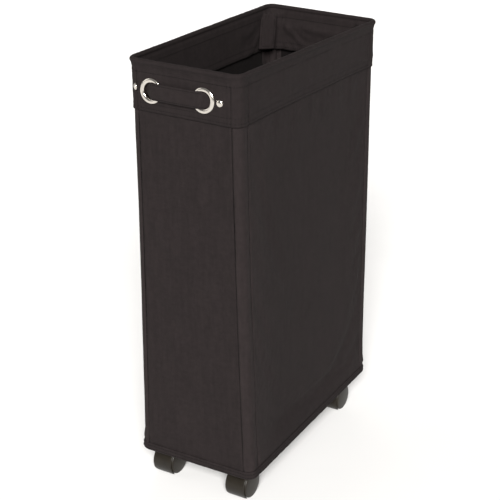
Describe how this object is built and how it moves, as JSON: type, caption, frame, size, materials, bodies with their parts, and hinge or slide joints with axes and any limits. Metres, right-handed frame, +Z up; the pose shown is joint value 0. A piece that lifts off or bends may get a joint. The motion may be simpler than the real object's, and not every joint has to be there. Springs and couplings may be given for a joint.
{
  "type": "laundry bin on casters",
  "caption": "Tall slim fabric laundry bin on swivel casters, with a wire rim in a folded fabric band and a strap handle through metal eyelets on each narrow face.",
  "frame": {"origin": "centre of the bounding box on the floor plane, under the middle of the bag", "axes": "+X across the narrow face, +Y from the front handle face to the back one, +Z up; the wheels stand on z = 0"},
  "size_m": [0.18, 0.3834, 0.625],
  "materials": {
    "fabric": "matt woven",
    "fabric_trim": "matt woven",
    "floor_fabric": "matt woven",
    "chrome": "polished",
    "steel": "plain",
    "caster_plastic": "fine grained",
    "wheel_plastic": "satin",
    "board": "raw fibreboard"
  },
  "bodies": {
    "bin": {"rim_wire": "steel", "top_band": "fabric", "front_panel": "fabric", "back_panel": "fabric", "left_panel": "fabric", "right_panel": "fabric", "corner_sleeve_front_left": "fabric", "corner_flap_front_left": "fabric_trim", "corner_post_front_left": "steel", "caster_socket_front_left": "steel", "post_clip_front_left": "caster_plastic", "eyelet_front_left": "chrome", "rivet_front_left": "chrome", "corner_sleeve_front_right": "fabric", "corner_flap_front_right": "fabric_trim", "corner_post_front_right": "steel", "caster_socket_front_right": "steel", "post_clip_front_right": "caster_plastic", "eyelet_front_right": "chrome", "rivet_front_right": "chrome", "corner_sleeve_back_left": "fabric", "corner_flap_back_left": "fabric_trim", "corner_post_back_left": "steel", "caster_socket_back_left": "steel", "post_clip_back_left": "caster_plastic", "eyelet_back_left": "chrome", "rivet_back_left": "chrome", "corner_sleeve_back_right": "fabric", "corner_flap_back_right": "fabric_trim", "corner_post_back_right": "steel", "caster_socket_back_right": "steel", "post_clip_back_right": "caster_plastic", "eyelet_back_right": "chrome", "rivet_back_right": "chrome", "bottom_cover": "fabric_trim", "bottom_binding": "fabric_trim", "handle_strap_front": "fabric_trim", "handle_strap_back": "fabric_trim", "floor_insert": "floor_fabric", "base_board": "board"},
    "caster_front_left": {"caster_hood_front_left": "caster_plastic", "caster_axle_front_left": "steel"},
    "wheel_front_left_a": {"wheel_front_left_a": "wheel_plastic"},
    "wheel_front_left_b": {"wheel_front_left_b": "wheel_plastic"},
    "caster_front_right": {"caster_hood_front_right": "caster_plastic", "caster_axle_front_right": "steel"},
    "wheel_front_right_a": {"wheel_front_right_a": "wheel_plastic"},
    "wheel_front_right_b": {"wheel_front_right_b": "wheel_plastic"},
    "caster_back_left": {"caster_hood_back_left": "caster_plastic", "caster_axle_back_left": "steel"},
    "wheel_back_left_a": {"wheel_back_left_a": "wheel_plastic"},
    "wheel_back_left_b": {"wheel_back_left_b": "wheel_plastic"},
    "caster_back_right": {"caster_hood_back_right": "caster_plastic", "caster_axle_back_right": "steel"},
    "wheel_back_right_a": {"wheel_back_right_a": "wheel_plastic"},
    "wheel_back_right_b": {"wheel_back_right_b": "wheel_plastic"}
  },
  "joints": [
    {"name": "caster_front_left_swivel", "type": "hinge", "parent": "bin", "child": "caster_front_left", "pos_m": [-0.062, -0.1425, 0.043], "axis": [0, 0, 1], "continuous": true},
    {"name": "wheel_front_left_a_spin", "type": "hinge", "parent": "caster_front_left", "child": "wheel_front_left_a", "pos_m": [-0.062, -0.157, 0.02], "axis": [1, 0, 0], "continuous": true},
    {"name": "wheel_front_left_b_spin", "type": "hinge", "parent": "caster_front_left", "child": "wheel_front_left_b", "pos_m": [-0.062, -0.157, 0.02], "axis": [1, 0, 0], "continuous": true},
    {"name": "caster_front_right_swivel", "type": "hinge", "parent": "bin", "child": "caster_front_right", "pos_m": [0.062, -0.1425, 0.043], "axis": [0, 0, 1], "continuous": true},
    {"name": "wheel_front_right_a_spin", "type": "hinge", "parent": "caster_front_right", "child": "wheel_front_right_a", "pos_m": [0.062, -0.157, 0.02], "axis": [1, 0, 0], "continuous": true},
    {"name": "wheel_front_right_b_spin", "type": "hinge", "parent": "caster_front_right", "child": "wheel_front_right_b", "pos_m": [0.062, -0.157, 0.02], "axis": [1, 0, 0], "continuous": true},
    {"name": "caster_back_left_swivel", "type": "hinge", "parent": "bin", "child": "caster_back_left", "pos_m": [-0.062, 0.1425, 0.043], "axis": [0, 0, 1], "continuous": true},
    {"name": "wheel_back_left_a_spin", "type": "hinge", "parent": "caster_back_left", "child": "wheel_back_left_a", "pos_m": [-0.062, 0.128, 0.02], "axis": [1, 0, 0], "continuous": true},
    {"name": "wheel_back_left_b_spin", "type": "hinge", "parent": "caster_back_left", "child": "wheel_back_left_b", "pos_m": [-0.062, 0.128, 0.02], "axis": [1, 0, 0], "continuous": true},
    {"name": "caster_back_right_swivel", "type": "hinge", "parent": "bin", "child": "caster_back_right", "pos_m": [0.062, 0.1425, 0.043], "axis": [0, 0, 1], "continuous": true},
    {"name": "wheel_back_right_a_spin", "type": "hinge", "parent": "caster_back_right", "child": "wheel_back_right_a", "pos_m": [0.062, 0.128, 0.02], "axis": [1, 0, 0], "continuous": true},
    {"name": "wheel_back_right_b_spin", "type": "hinge", "parent": "caster_back_right", "child": "wheel_back_right_b", "pos_m": [0.062, 0.128, 0.02], "axis": [1, 0, 0], "continuous": true}
  ]
}
